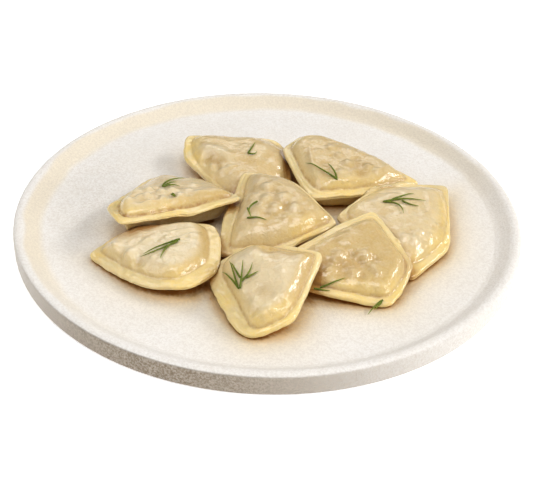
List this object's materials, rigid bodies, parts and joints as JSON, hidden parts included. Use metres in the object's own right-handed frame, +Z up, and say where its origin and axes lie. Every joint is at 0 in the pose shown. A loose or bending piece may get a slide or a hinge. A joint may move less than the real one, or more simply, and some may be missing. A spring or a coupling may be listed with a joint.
{
  "type": "plate of pierogi dumplings",
  "caption": "Filled dough dumplings with flat sealed edges, lying loosely on and against each other on a round stoneware plate with a low rim, scattered with dill.",
  "frame": {"origin": "centre of the plate's underside, on the surface it stands on", "axes": "+Z up out of the plate, +Y away from the nearest dumpling's tip, +X to the right"},
  "size_m": [0.26, 0.26, 0.029],
  "materials": {
    "stoneware": "matte, finely grained",
    "dough": "moist, glossy",
    "dill": "matte"
  },
  "bodies": {
    "root": {"plate": "stoneware", "dumpling_back_left": "dough", "dumpling_back_right": "dough", "dumpling_right": "dough", "dumpling_front_right": "dough", "dumpling_centre": "dough", "dumpling_front": "dough", "dumpling_front_left": "dough", "dumpling_left": "dough", "dill_back_left": "dill", "dill_back_right": "dill", "dill_right": "dill", "dill_left": "dill", "dill_left_scrap": "dill", "dill_centre": "dill", "dill_front_left": "dill", "dill_front": "dill", "dill_front_right": "dill", "dill_edge": "dill"}
  },
  "joints": []
}
